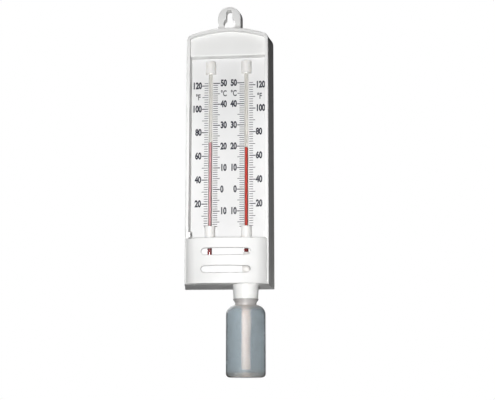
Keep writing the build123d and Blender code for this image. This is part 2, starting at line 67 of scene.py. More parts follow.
# Which side of the middle each tube stands on, and what it reads in degrees Celsius.
SIDES = {"dry": -1, "wet": 1}
READINGS = {"dry": 21.7, "wet": 19.1}

# Heights at which a colour changes.
BULB_DARK_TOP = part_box("dry_stem")[0].z + 11 * MM
WATER_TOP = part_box("water")[1].z
SHOULDER_TOP = WATER_TOP + 3 * MM
BOTTLE_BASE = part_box("bottle")[0].z

# The bottle's base is domed inwards. Within the dome's radius of the bottle's axis the plastic is coloured
# paler than the walls, a painted highlight.
DOME_RADIUS = 12.0 * MM
DOME_HEIGHT = 3.4 * MM


def centre(node):
    low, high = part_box(node)
    return (low + high) / 2


# Materials -----------------------------------------------------------------------------------------

# Nearly all of a noise lies between these, so colours and values are spread over this part of it.
NOISE_RANGE = (0.3, 0.7)

DRY_BULB_RED = (0.2, 0.05, 0.055)
WET_BULB_RED = (0.14, 0.012, 0.012)
# Painted highlight for the middle of the bottle's domed base.
DOME_HIGHLIGHT = (0.68, 0.65, 0.61)


class Shader:
    """A material with one Principled shader, and short calls for the procedural nodes that feed it."""

    def __init__(self, name, **sockets):
        self.material = bpy.data.materials.new(name)
        self.material.use_nodes = True
        self.tree = self.material.node_tree
        self.principled = self.tree.nodes["Principled BSDF"]
        for socket, value in sockets.items():
            label = socket.replace("_", " ").title().replace("Ior", "IOR")
            self.principled.inputs[label].default_value = value
        self.place = self.tree.nodes.new("ShaderNodeTexCoord").outputs["Object"]

    def node(self, kind, **settings):
        """A new node, with each setting on the node itself or on the input of that name."""
        made = self.tree.nodes.new(kind)
        for key, value in settings.items():
            if hasattr(made, key) and key not in made.inputs:
                setattr(made, key, value)
            else:
                made.inputs[key].default_value = value
        return made

    def link(self, source, target):
        self.tree.links.new(source, target)

    def stretched(self, scale):
        mapping = self.node("ShaderNodeMapping")
        mapping.inputs["Scale"].default_value = scale
        self.link(self.place, mapping.inputs["Vector"])
        return mapping.outputs["Vector"]

    def noise(self, scale, detail=3.0, stretch=None):
        """Noise with so many lumps to the metre, drawn out along an axis whose stretch is below 1."""
        texture = self.node("ShaderNodeTexNoise", Scale=scale, Detail=detail)
        self.link(self.stretched(stretch) if stretch else self.place, texture.inputs["Vector"])
        return texture.outputs["Fac"]

    def tint(self, source, low, high):
        """A colour between two others, chosen by a noise."""
        ramp = self.node("ShaderNodeValToRGB")
        for element, position, colour in zip(ramp.color_ramp.elements, NOISE_RANGE, (low, high)):
            element.position = position
            element.color = (*colour, 1)
        self.link(source, ramp.inputs["Fac"])
        return ramp.outputs["Color"]

    def rescaled(self, source, old_range, new_range):
        """A value with one range turned into another and held at its ends."""
        scaled = self.node("ShaderNodeMapRange")
        sockets = ("From Min", "From Max", "To Min", "To Max")
        for socket, value in zip(sockets, (*old_range, *new_range)):
            scaled.inputs[socket].default_value = value
        self.link(source, scaled.inputs["Value"])
        return scaled.outputs["Result"]

    def colour(self, source, low, high):
        self.link(self.tint(source, low, high), self.principled.inputs["Base Color"])

    def streaky(self, colour):
        """A colour that varies a little along upright streaks."""
        streaks = self.noise(300, 3, (1, 1, 0.1))
        return self.tint(streaks, shade_of(colour, 0.9), shade_of(colour, 1.1))

    def roughness(self, source, low, high):
        self.link(self.rescaled(source, NOISE_RANGE, (low, high)), self.principled.inputs["Roughness"])

    def bump(self, source, distance, strength):
        bump = self.node("ShaderNodeBump", Distance=distance, Strength=strength)
        self.link(source, bump.inputs["Height"])
        self.link(bump.outputs["Normal"], self.principled.inputs["Normal"])

    def height_ramp(self, start, end):
        """0 at one height and 1 at the other."""
        height = self.node("ShaderNodeSeparateXYZ")
        self.link(self.place, height.inputs["Vector"])
        return self.rescaled(height.outputs["Z"], (start, end), (0, 1))

    def within(self, axis, radius):
        """1 inside an upright cylinder and 0 outside it."""
        level = self.node("ShaderNodeMapping")
        level.inputs["Location"].default_value = (-axis.x, -axis.y, 0)
        level.inputs["Scale"].default_value = (1, 1, 0)
        self.link(self.place, level.inputs["Vector"])
        distance = self.node("ShaderNodeVectorMath", operation="LENGTH")
        self.link(level.outputs["Vector"], distance.inputs[0])
        inside = self.node("ShaderNodeMath", operation="LESS_THAN")
        self.link(distance.outputs["Value"], inside.inputs[0])
        inside.inputs[1].default_value = radius
        return inside.outputs["Value"]

    def mixed(self, share, first, second):
        """The first colour where the share is 0 and the second where it is 1."""
        mix = self.node("ShaderNodeMix", data_type="RGBA")
        self.link(share, mix.inputs["Factor"])
        self.link(first, mix.inputs["A"])
        self.link(second, mix.inputs["B"])
        return mix.outputs["Result"]

    def lets_lamps_through(self, filter_colour, surface_shader=None):
        """Rays from lamps pass straight through, so that what is behind the glass is lit."""
        surface = self.tree.nodes["Material Output"].inputs["Surface"]
        clear = self.node("ShaderNodeBsdfTransparent", Color=(*filter_colour, 1))
        mix = self.node("ShaderNodeMixShader")
        self.link(self.node("ShaderNodeLightPath").outputs["Is Shadow Ray"], mix.inputs["Fac"])
        self.link(surface_shader or self.principled.outputs["BSDF"], mix.inputs[1])
        self.link(clear.outputs["BSDF"], mix.inputs[2])
        self.link(mix.outputs["Shader"], surface)


def shade_of(colour, factor):
    return tuple(min(1.0, channel * factor) for channel in colour)


def moulded_plastic(name, colour, roughness, coat=0.0, translucent=0.0):
    """Injection-moulded plastic: faint flow mottling, an uneven sheen and a fine eroded grain."""
    shader = Shader(
        name,
        coat_weight=coat,
        coat_roughness=0.2,
        subsurface_weight=translucent,
        subsurface_radius=(1.0, 0.9, 0.8),
        subsurface_scale=1.5 * MM,
    )
    flow = shader.noise(35, 4, (1, 1, 0.35))
    shader.colour(flow, shade_of(colour, 0.975), shade_of(colour, 1.015))
    shader.roughness(shader.noise(140, 5), roughness - 0.06, roughness + 0.06)
    shader.bump(shader.noise(2600, 2), distance=0.02 * MM, strength=0.35)
    return shader.material


def tube_glass():
    """Drawn glass with faint streaks along the tube."""
    shader = Shader("tube_glass", transmission_weight=1.0, ior=1.47, coat_weight=0.2)
    streaks = shader.noise(180, 3, (1, 1, 0.04))
    shader.colour(streaks, (0.93, 0.93, 0.91), (1.0, 1.0, 0.99))
    shader.roughness(streaks, 0.0, 0.03)
    shader.lets_lamps_through((0.93, 0.92, 0.9))
    return shader.material


def spirit_red(name, colour, bulb_colour):
    """Dyed spirit: bright in the thin bore and much darker in the bulb, where it is deeper."""
    shader = Shader(name, specular_ior_level=0.15)
    in_bore = shader.height_ramp(BULB_DARK_TOP, BULB_DARK_TOP + 4 * MM)
    varied = shader.mixed(in_bore, shader.streaky(bulb_colour), shader.streaky(colour))
    shader.link(varied, shader.principled.inputs["Base Color"])
    shader.roughness(shader.noise(200), 0.25, 0.4)
    return shader.material


def frosted_bottle():
    """Squeezable polyethylene: a milky, softly shining wall that is thicker and greyer at the neck, with
    painted shade at its foot and a painted highlight over its domed base.
    """
    shader = Shader("bottle_translucent", coat_weight=0.25, coat_roughness=0.3)
    cloudy = shader.noise(60, 4, (1, 1, 0.3))
    body = shader.tint(cloudy, (0.36, 0.42, 0.45), (0.4, 0.46, 0.49))
    neck = shader.tint(cloudy, (0.46, 0.445, 0.435), (0.5, 0.485, 0.475))
    # Painted shade: up to 2 mm above the bottom the wall takes this darker, browner colour, which blends
    # into the body's colour by 6 mm.
    base = shader.tint(cloudy, (0.25, 0.24, 0.22), (0.31, 0.295, 0.27))
    below_neck = shader.height_ramp(SHOULDER_TOP, SHOULDER_TOP - 7 * MM)
    above_base = shader.height_ramp(BOTTLE_BASE + 2 * MM, BOTTLE_BASE + 6 * MM)
    in_dome = shader.within(centre("bottle"), DOME_RADIUS)
    walls = shader.mixed(above_base, base, body)
    # Painted highlight: within the dome's radius of the axis the wall takes the paler colour.
    walls = shader.mixed(in_dome, walls, shader.streaky(DOME_HIGHLIGHT))
    shader.link(shader.mixed(below_neck, neck, walls), shader.principled.inputs["Base Color"])
    shader.roughness(shader.noise(150, 4), 0.35, 0.45)
    shader.bump(shader.noise(90, 2, (1, 1, 0.4)), distance=0.1 * MM, strength=0.2)
    clear = shader.node("ShaderNodeBsdfRefraction", Color=(0.97, 0.97, 0.97, 1), IOR=1.03, Roughness=0.1)
    wall = shader.node("ShaderNodeMixShader")
    clearness = shader.rescaled(below_neck, (0, 1), (0.3, 0.66))
    shader.link(clearness, wall.inputs["Fac"])
    shader.link(shader.principled.outputs["BSDF"], wall.inputs[1])
    shader.link(clear.outputs["BSDF"], wall.inputs[2])
    shader.lets_lamps_through((0.88, 0.89, 0.9), wall.outputs["Shader"])
    return shader.material


def bottle_water():
    """Clear water that is very slightly cloudy."""
    shader = Shader("bottle_water", transmission_weight=1.0, ior=1.33)
    shader.colour(shader.noise(40, 2), (0.9, 0.93, 0.95), (0.94, 0.97, 0.98))
    shader.roughness(shader.noise(60), 0.02, 0.06)
    shader.lets_lamps_through((0.98, 0.98, 0.98))
    return shader.material


def cotton():
    """Knitted cotton, off-white where it is dry and a warm cream where it is soaked, with loops across."""
    shader = Shader("cotton", sheen_weight=0.3)
    fibres = shader.noise(120, 5, (1, 1, 0.4))
    dry = shader.tint(fibres, (0.78, 0.76, 0.74), (0.86, 0.84, 0.82))
    wet = shader.tint(fibres, (0.9, 0.62, 0.48), (0.98, 0.8, 0.67))
    soaked = shader.height_ramp(WATER_TOP + 12 * MM, WATER_TOP - 2 * MM)
    shader.link(shader.mixed(soaked, dry, wet), shader.principled.inputs["Base Color"])
    shader.roughness(shader.noise(300), 0.8, 0.95)
    loops = shader.node("ShaderNodeTexWave", Scale=260.0, Distortion=3.0, Detail=2.0)
    loops.bands_direction = "Z"
    shader.link(shader.place, loops.inputs["Vector"])
    shader.bump(loops.outputs["Fac"], distance=0.25 * MM, strength=0.7)
    return shader.material


def ink(name, colour):
    """Printed ink, a little uneven in depth and sheen."""
    shader = Shader(name)
    shader.colour(shader.noise(900, 2), shade_of(colour, 0.8), shade_of(colour, 1.2))
    shader.roughness(shader.noise(500), 0.45, 0.6)
    return shader.material


MATERIALS = {
    "case": moulded_plastic("case_white", (0.83, 0.83, 0.82), 0.5, coat=0.05),
    "scale_plate": moulded_plastic("plate_white", (0.72, 0.72, 0.72), 0.55),
    "bulb_cover": moulded_plastic("cover_white", (0.82, 0.82, 0.81), 0.5, coat=0.05),
    "bottle_socket": moulded_plastic("socket_white", (0.92, 0.92, 0.9), 0.45, coat=0.05, translucent=0.1),
    "holder": moulded_plastic("holder_white", (0.84, 0.83, 0.81), 0.45, translucent=0.15),
    "enamel": moulded_plastic("enamel", (0.4, 0.393, 0.373), 0.45),
    "glass": tube_glass(),
    "dry_spirit": spirit_red("dry_red", (0.5, 0.26, 0.28), DRY_BULB_RED),
    "wet_spirit": spirit_red("wet_red", (0.42, 0.045, 0.034), WET_BULB_RED),
    "bottle": frosted_bottle(),
    "water": bottle_water(),
    "cotton": cotton(),
    "ink": ink("scale_ink", (0.015, 0.016, 0.03)),
    "grey_ink": ink("scale_grey_ink", (0.06, 0.06, 0.07)),
}


def finish_with(piece, material):
    piece.data.materials.clear()
    piece.data.materials.append(material)


# Mesh helpers --------------------------------------------------------------------------------------


def mesh_piece(name, bm, material, body, smooth=True):
    mesh = bpy.data.meshes.new(name)
    bm.to_mesh(mesh)
    bm.free()
    piece = bpy.data.objects.new(name, mesh)
    bpy.context.collection.objects.link(piece)
    for polygon in mesh.polygons:
        polygon.use_smooth = smooth
    finish_with(piece, material)
    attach(piece, body)
    return piece


def around(segments):
    """The angles of equal steps round a circle."""
    return [2 * math.pi * i / segments for i in range(segments)]


def lathe(profile, axis, segments):
    """A closed surface of revolution from (radius, height) points, starting and ending on the axis."""
    bm = bmesh.new()
    rings = []
    for radius, height in profile:
        if radius == 0:
            rings.append([bm.verts.new((axis.x, axis.y, height))])
            continue
        ring = []
        for angle in around(segments):
            x, y = axis.x + radius * math.cos(angle), axis.y + radius * math.sin(angle)
            ring.append(bm.verts.new((x, y, height)))
        rings.append(ring)
    for below, above in zip(rings, rings[1:]):
        for i in range(segments):
            j = (i + 1) % segments
            corners = [(below, i), (below, j), (above, j), (above, i)]
            face = dict.fromkeys(ring[place % len(ring)] for ring, place in corners)
            bm.faces.new(list(face))
    bmesh.ops.recalc_face_normals(bm, faces=bm.faces)
    return bm


def close_tube(bm, rings):
    """Faces between neighbouring rings and over the first and the last."""
    for below, above in zip(rings, rings[1:]):
        for i in range(len(below)):
            j = (i + 1) % len(below)
            bm.faces.new((below[i], below[j], above[j], above[i]))
    bm.faces.new(rings[0])
    bm.faces.new(rings[-1])
    bmesh.ops.recalc_face_normals(bm, faces=bm.faces)


def arc(centre_x, centre_y, radius, start, end, steps):
    """Points of a circular arc in a plane, with angles in degrees from the first axis."""
    angles = [math.radians(start + (end - start) * i / steps) for i in range(steps + 1)]
    return [(centre_x + radius * math.cos(angle), centre_y + radius * math.sin(angle)) for angle in angles]


def add_box(bm, low, high):
    size = [end - start for start, end in zip(low, high)]
    middle = [(end + start) / 2 for start, end in zip(low, high)]
    matrix = Matrix.Translation(middle) @ Matrix.Diagonal((*size, 1))
    bmesh.ops.create_cube(bm, size=1.0, matrix=matrix)


# Thermometers --------------------------------------------------------------------------------------

BULB_SWELL = 0.2 * MM
BULB_WALL = 0.2 * MM
BULB_TOP = 12.5 * MM
BULB_TAPER = 2.5 * MM
BORE_RADIUS = 0.7 * MM
GLASS_SEGMENTS = 48
COLUMN_SEGMENTS = 32

# The dished top of the column: shares of the bore's radius, and depths. One ring goes just under its edge.
SPIRIT_DISH = ((1.0, 0.0), (0.6, 0.25 * MM), (0.0, 0.35 * MM))
DISH_RING_GAP = 0.3 * MM

# The enamel strip spans the back half of the stem, less this many degrees at either edge.
STRIP_RADIUS = 1.42 * MM
STRIP_THICKNESS = 0.25 * MM
STRIP_EDGE = 8
STRIP_STEPS = 12

# A long straight stretch has one more ring this near to its ends, which keeps the smooth shading even.
RING_GAP = 1.0 * MM


def tube_profile(node):
    """Outline of the glass: a slightly wider bulb at the foot and a rounded tip."""
    low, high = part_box(node)
    bulb = (high.x - low.x) / 2
    stem = bulb - BULB_SWELL
    bulb_top = low.z + BULB_TOP
    stem_foot = bulb_top + BULB_TAPER
    tip_foot = high.z - stem
    points = arc(0, low.z + bulb, bulb, -90, 0, 8)
    points += [(bulb, bulb_top), (stem, stem_foot)]
    points += [(stem, stem_foot + RING_GAP), (stem, tip_foot - RING_GAP)]
    points += arc(0, tip_foot, stem, 0, 90, 8)
    points[0] = (0, low.z)
    points[-1] = (0, high.z)
    return points


def spirit_profile(node, stem_node):
    """Spirit fills the bulb up to its wall and then the bore, and ends in a small dished surface."""
    low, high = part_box(stem_node)
    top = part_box(node)[1].z
    bulb = (high.x - low.x) / 2 - BULB_WALL
    foot = low.z + BULB_WALL
    bulb_top = low.z + BULB_TOP
    bore_foot = bulb_top + BULB_TAPER
    points = arc(0, foot + bulb, bulb, -90, 0, 6)
    points[0] = (0, foot)
    points += [(bulb, bulb_top - RING_GAP), (BORE_RADIUS, bore_foot), (BORE_RADIUS, bore_foot + RING_GAP)]
    points += [(BORE_RADIUS, top - DISH_RING_GAP)]
    points += [(BORE_RADIUS * share, top - depth) for share, depth in SPIRIT_DISH]
    return points


def backing_strip(node, axis_y):
    """White enamel fused into the back of the stem: a thin curved band just inside the glass."""
    low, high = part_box(node)
    heights = (low.z, low.z + RING_GAP, high.z - RING_GAP, high.z)
    bm = bmesh.new()
    sheets = []
    for radius in (STRIP_RADIUS, STRIP_RADIUS - STRIP_THICKNESS):
        outline = arc(centre(node).x, axis_y, radius, STRIP_EDGE, 180 - STRIP_EDGE, STRIP_STEPS)
        sheets.append([[bm.verts.new((x, y, height)) for x, y in outline] for height in heights])
    back, front = sheets
    bands = [*zip(back, back[1:]), *zip(front[1:], front), (front[0], back[0]), (back[-1], front[-1])]
    for first, second in bands:
        for i in range(STRIP_STEPS):
            bm.faces.new((first[i], first[i + 1], second[i + 1], second[i]))
    for edge in (0, -1):
        pairs = [(back_row[edge], front_row[edge]) for back_row, front_row in zip(back, front)]
        for (back_low, front_low), (back_high, front_high) in zip(pairs, pairs[1:]):
            bm.faces.new((back_low, back_high, front_high, front_low))
    bmesh.ops.recalc_face_normals(bm, faces=bm.faces)
    return bm


def make_thermometer(side):
    stem_node = f"{side}_stem"
    spirit_node = f"{side}_spirit"
    strip_node = f"{side}_backing_strip"
    axis = centre(stem_node)
    glass_mesh = lathe(tube_profile(stem_node), axis, GLASS_SEGMENTS)
    glass = mesh_piece(f"{side}_glass", glass_mesh, MATERIALS["glass"], "case")
    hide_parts(stem_node)
    column_mesh = lathe(spirit_profile(spirit_node, stem_node), axis, COLUMN_SEGMENTS)
    column = mesh_piece(f"{side}_column", column_mesh, MATERIALS[spirit_node], "case")
    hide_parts(spirit_node)
    strip_mesh = backing_strip(strip_node, axis.y)
    strip = mesh_piece(f"{side}_enamel", strip_mesh, MATERIALS["enamel"], "case")
    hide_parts(strip_node)


for side in SIDES:
    make_thermometer(side)


# Printed scale -------------------------------------------------------------------------------------

# The scale follows from the tops of the two columns, because both readings are known.
COLUMN_TOPS = {side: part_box(f"{side}_spirit")[1].z for side in SIDES}
DEGREE_LENGTH = (COLUMN_TOPS["dry"] - COLUMN_TOPS["wet"]) / (READINGS["dry"] - READINGS["wet"])
ZERO_HEIGHT = COLUMN_TOPS["wet"] - READINGS["wet"] * DEGREE_LENGTH

PLATE_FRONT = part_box("scale_plate")[0].y
INK_THICKNESS = 0.03 * MM

# Where the marks begin, from the tube's middle. How far they reach and how thick they are goes by the
# largest step that divides their degree.
CELSIUS_DEGREES = range(-17, 51)
CELSIUS_START = 1.9 * MM
CELSIUS_MARKS = {10: (7.75 * MM, 0.8 * MM), 5: (7.5 * MM, 0.56 * MM), 1: (5.8 * MM, 0.54 * MM)}
FAHRENHEIT_DEGREES = range(2, 123, 2)
FAHRENHEIT_START = 2.2 * MM
FAHRENHEIT_MARKS = {20: (7.4 * MM, 0.8 * MM), 10: (7.2 * MM, 0.54 * MM), 2: (5.4 * MM, 0.52 * MM)}

# One thicker mark ends the scale, on the left of either tube.
END_MARK_DEGREE = -17.2
END_MARK_START = 2.2 * MM
END_MARK_REACH = 4.8 * MM
END_MARK_THICKNESS = 0.9 * MM

# Which numbers there are, how far from the tube's middle they begin, and where the units stand.
CELSIUS_NUMBERS = range(-10, 51, 10)
CELSIUS_NUMBER_GAP = 8.1 * MM
CELSIUS_UNIT_DEGREE = 45.0
FAHRENHEIT_NUMBERS = range(20, 121, 20)
FAHRENHEIT_NUMBER_GAP = 7.7 * MM
FAHRENHEIT_UNIT_DEGREE = 110.1
FAHRENHEIT_UNIT_SHIFT = 1.0 * MM

# Height, boldness and ink of the lettering.
NUMBER_STYLE = (5.5 * MM, 0.38 * MM, MATERIALS["ink"])
UNIT_STYLE = (5.0 * MM, 0.2 * MM, MATERIALS["grey_ink"])

# Shares of the font's own width and spacing, and of its size that a figure's height takes.
CONDENSED = 0.68
LETTER_SPACING = 0.99
FIGURE_SHARE = 0.73

# With finer curves some of the thickened figures lose their fill.
GLYPH_RESOLUTION = 5


def celsius_height(degrees):
    return ZERO_HEIGHT + degrees * DEGREE_LENGTH


def fahrenheit_height(degrees):
    return celsius_height((degrees - 32) / 1.8)


def add_tick(bm, x_from, x_to, height, thickness):
    low_x, high_x = sorted((x_from, x_to))
    add_box(
        bm,
        (low_x, PLATE_FRONT - INK_THICKNESS, height - thickness / 2),
        (high_x, PLATE_FRONT + INK_THICKNESS, height + thickness / 2),
    )


def mark_size(degree, marks):
    """Reach and thickness of the mark at a degree."""
    return next(size for step, size in marks.items() if degree % step == 0)


def scale_ticks(side):
    """Celsius marks on the inner side of the tube and Fahrenheit marks on the outer side."""
    sign = SIDES[side]
    bm = bmesh.new()
    tube = centre(f"{side}_stem").x
    for degree in CELSIUS_DEGREES:
        reach, thickness = mark_size(degree, CELSIUS_MARKS)
        start, end = tube - sign * CELSIUS_START, tube - sign * reach
        add_tick(bm, start, end, celsius_height(degree), thickness)
    for degree in FAHRENHEIT_DEGREES:
        reach, thickness = mark_size(degree, FAHRENHEIT_MARKS)
        start, end = tube + sign * FAHRENHEIT_START, tube + sign * reach
        add_tick(bm, start, end, fahrenheit_height(degree), thickness)
    start, end = tube - END_MARK_START, tube - END_MARK_REACH
    add_tick(bm, start, end, celsius_height(END_MARK_DEGREE), END_MARK_THICKNESS)
    return bm


def printed_text(name, text, x, height, align, style):
    """Raised ink letters, x being the end they are aligned to."""
    size, boldness, material = style
    curve = bpy.data.curves.new(name, "FONT")
    curve.body = text
    curve.size = size / FIGURE_SHARE
    curve.align_x = align
    curve.align_y = "CENTER"
    curve.offset = boldness
    curve.space_character = LETTER_SPACING
    curve.extrude = INK_THICKNESS
    curve.resolution_u = GLYPH_RESOLUTION
    letters = bpy.data.objects.new(name, curve)
    bpy.context.collection.objects.link(letters)
    turn = Matrix.Rotation(math.radians(90), 4, "X") @ Matrix.Diagonal((CONDENSED, 1, 1, 1))
    letters.matrix_world = Matrix.Translation((x, PLATE_FRONT, height)) @ turn
    bpy.context.view_layer.update()
    mesh = bpy.data.meshes.new_from_object(letters.evaluated_get(bpy.context.evaluated_depsgraph_get()))
    mesh.transform(letters.matrix_world)
    bpy.data.objects.remove(letters)
    piece = bpy.data.objects.new(name, mesh)
    bpy.context.collection.objects.link(piece)
    finish_with(piece, material)
    return piece


def join(pieces, name):
    first = pieces[0]
    with bpy.context.temp_override(active_object=first, selected_editable_objects=pieces, object=first):
        bpy.ops.object.join()
    first.name = name
    return first


def scale_numbers(side):
    """The numbers beside a tube as one piece, and the letters of its units as another."""
    sign = SIDES[side]
    tube = centre(f"{side}_stem").x
    inner = tube - sign * CELSIUS_NUMBER_GAP
    outer = tube + sign * FAHRENHEIT_NUMBER_GAP
    unit_outer = outer + sign * FAHRENHEIT_UNIT_SHIFT
    inner_align, outer_align = ("LEFT", "RIGHT") if sign < 0 else ("RIGHT", "LEFT")
    figures = [
        (str(abs(degree)), inner, celsius_height(degree), inner_align) for degree in CELSIUS_NUMBERS
    ]
    figures += [
        (str(degree), outer, fahrenheit_height(degree), outer_align) for degree in FAHRENHEIT_NUMBERS
    ]
    numbers = [
        printed_text(f"{side}_number_{i}", *figure, NUMBER_STYLE) for i, figure in enumerate(figures)
    ]
    joined = join(numbers, f"{side}_numbers")
    signs = {
        "c": ("°C", inner, celsius_height(CELSIUS_UNIT_DEGREE), inner_align),
        "f": ("°F", unit_outer, fahrenheit_height(FAHRENHEIT_UNIT_DEGREE), outer_align),
    }
    units = [printed_text(f"{side}_unit_{key}", *sign_at, UNIT_STYLE) for key, sign_at in signs.items()]
    return joined, join(units, f"{side}_units")


for side in SIDES:
    mesh_piece(f"{side}_ticks", scale_ticks(side), MATERIALS["ink"], "case", smooth=False)
    for printed in scale_numbers(side):
        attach(printed, "case")


# Wick and sock -------------------------------------------------------------------------------------

# The points of the wick's route in the CAD part, from the bulb down into the bottle.
WICK_ROUTE = [
    Vector(point) * MM
    for point in (
        (14.8, -12.4, -201.5),
        (14.8, -12.4, -209.0),
        (15.2, -16.0, -219.5),
        (15.0, -17.5, -233.5),
        (15.3, -17.1, -251.5),
        (14.8, -17.3, -269.5),
        (15.1, -17.1, -285.8),
    )
]
WICK_RADIUS = 3.2 * MM

# Wetting draws the wick in by this much, and in full from this far along it.
WET_SHRINK = 0.35 * MM
WET_FULLY = 30 * MM

# The ends of the wick narrow to this share of its radius over their last stretch.
END_STRETCH = 1.2 * MM
END_SHARE = 0.55

# The knit: ribs along the sleeve, which wander, loops that lean across them, and an uneven swelling.
KNIT_SEGMENTS = 56
KNIT_SPACING = 0.3 * MM
KNIT_DEPTH = 0.3 * MM
RIBS = 14
RIB_HEIGHT = 0.16 * MM
WANDER_ANGLE = 0.6
WANDER_LENGTH = 2.1 * MM
LOOP_LENGTH = 0.9 * MM
LOOP_HEIGHT = 0.08 * MM
LOOP_LEAN = 7
SWELL_HEIGHT = 0.12 * MM
SWELL_LENGTH = 6.3 * MM
SECOND_SWELL = 0.6
SECOND_SWELL_LENGTH = 3.7 * MM
SECOND_SWELL_START = 1.3

# The inside of the sock, where its radius is under this, is not knitted.
SOCK_INSIDE = 2.2 * MM


def smooth_route(route):
    """Points along a NURBS spline whose control points are the route's."""
    curve = bpy.data.curves.new("route", "CURVE")
    curve.dimensions = "3D"
    curve.resolution_u = 12
    spline = curve.splines.new("NURBS")
    spline.points.add(len(route) - 1)
    for point, position in zip(spline.points, route):
        point.co = (*position, 1)
    spline.order_u = 3
    spline.use_endpoint_u = True
    holder = bpy.data.objects.new("route", curve)
    bpy.context.collection.objects.link(holder)
    mesh = bpy.data.meshes.new_from_object(holder.evaluated_get(bpy.context.evaluated_depsgraph_get()))
    points = [vertex.co.copy() for vertex in mesh.vertices]
    bpy.data.objects.remove(holder)
    bpy.data.meshes.remove(mesh)
    return points


def knitted(angle, along):
    """How far a knitted sleeve's surface stands out from its radius."""
    wander = WANDER_ANGLE * math.sin(along / WANDER_LENGTH)
    ribs = 0.5 + 0.5 * math.cos(RIBS * angle + wander)
    loops = 0.5 + 0.5 * math.cos(2 * math.pi * along / LOOP_LENGTH + LOOP_LEAN * angle)
    swell = math.sin(along / SWELL_LENGTH) * math.cos(2 * angle)
    swell += SECOND_SWELL * math.sin(along / SECOND_SWELL_LENGTH + SECOND_SWELL_START)
    return RIB_HEIGHT * ribs + LOOP_HEIGHT * loops + SWELL_HEIGHT * swell - KNIT_DEPTH


def tube_along(points, radius):
    """A knitted tube that follows the points, drawn in where it is wet, with rounded ends."""
    lengths = [0.0]
    for before, after in zip(points, points[1:]):
        lengths.append(lengths[-1] + (after - before).length)
    total = lengths[-1]
    coordinates = np.array(points)

    def place_at(distance):
        return Vector([np.interp(distance, lengths, coordinates[:, axis]) for axis in range(3)])

    bm = bmesh.new()
    rings = []
    count = int(total / KNIT_SPACING)
    for step in range(count + 1):
        along = total * step / count
        middle = place_at(along)
        direction = (place_at(min(along + MM, total)) - place_at(max(along - MM, 0.0))).normalized()
        across = Vector((1, 0, 0))
        across = (across - direction * across.dot(direction)).normalized()
        other = direction.cross(across)
        end_gap = min(along, total - along)
        drawn_in = WET_SHRINK * min(1.0, along / WET_FULLY)
        closing = END_SHARE + (1 - END_SHARE) * math.sqrt(min(1.0, end_gap / END_STRETCH))
        ring = []
        for angle in around(KNIT_SEGMENTS):
            reach = (radius + knitted(angle, along) - drawn_in) * closing
            edge = middle + across * reach * math.cos(angle) + other * reach * math.sin(angle)
            ring.append(bm.verts.new(edge))
        rings.append(ring)
    close_tube(bm, rings)
    return bm


route_points = smooth_route(WICK_ROUTE)
wick_mesh = tube_along(route_points, WICK_RADIUS)
wick = mesh_piece("cotton_wick", wick_mesh, MATERIALS["cotton"], "case")
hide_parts("wick")


def sock_mesh():
    """The sleeve's end over the wet bulb: full width below, drawn in round the glass above."""
    low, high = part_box("wick_sock")
    axis = centre("wick_sock")
    profile = [
        (0.0, low.z),
        (3.0 * MM, low.z),
        (3.2 * MM, low.z + 0.8 * MM),
        (3.2 * MM, low.z + 4.2 * MM),
        (2.85 * MM, low.z + 6.0 * MM),
        (2.45 * MM, high.z - 0.4 * MM),
        (2.3 * MM, high.z),
        (1.9 * MM, high.z - 0.1 * MM),
        (1.85 * MM, high.z - 2.0 * MM),
    ]
    points = [Vector(point) for point in profile]
    outline = []
    for before, after in zip(points, points[1:]):
        steps = max(1, int((after - before).length / KNIT_SPACING))
        outline += [before.lerp(after, i / steps) for i in range(steps)]
    bm = bmesh.new()
    rings = []
    for radius, height in outline[1:] + points[-1:]:
        ring = []
        for angle in around(KNIT_SEGMENTS):
            reach = radius + (knitted(angle, height - low.z) if radius > SOCK_INSIDE else 0.0)
            x, y = axis.x + reach * math.cos(angle), axis.y + reach * math.sin(angle)
            ring.append(bm.verts.new((x, y, height)))
        rings.append(ring)
    close_tube(bm, rings)
    return bm


sock = mesh_piece("cotton_sock", sock_mesh(), MATERIALS["cotton"], "case")
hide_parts("wick_sock")


# Bottle --------------------------------------------------------------------------------------------

WATER_INSET = 1.12 * MM
BASE_CORNER = 2.0 * MM
WATER_SEGMENTS = 72
DOME_STEPS = 6

# The water climbs the wall at its edge: the climb's width, the depth at its foot, and the middle's depth.
MENISCUS_WIDTH = 1.0 * MM
MENISCUS_DEPTH = 0.5 * MM
SURFACE_DEPTH = 0.6 * MM

# The bottle's shoulder: radius, and height over the base.
NECK_RADIUS = 8.4 * MM
NECK_BOTTOM = 56.0 * MM
SHOULDER_POINT = (13.3 * MM, 53.9 * MM)
SHOULDER_BOTTOM = 48.2 * MM


def circle_through(first, second, third):
    """Centre and radius of the circle through three points."""
    (ax, ay), (bx, by), (cx, cy) = first, second, third
    twice_area = 2 * (ax * (by - cy) + bx * (cy - ay) + cx * (ay - by))
    squares = [ax**2 + ay**2, bx**2 + by**2, cx**2 + cy**2]
    x = (squares[0] * (by - cy) + squares[1] * (cy - ay) + squares[2] * (ay - by)) / twice_area
    y = (squares[0] * (cx - bx) + squares[1] * (ax - cx) + squares[2] * (bx - ax)) / twice_area
    return x, y, math.hypot(ax - x, ay - y)


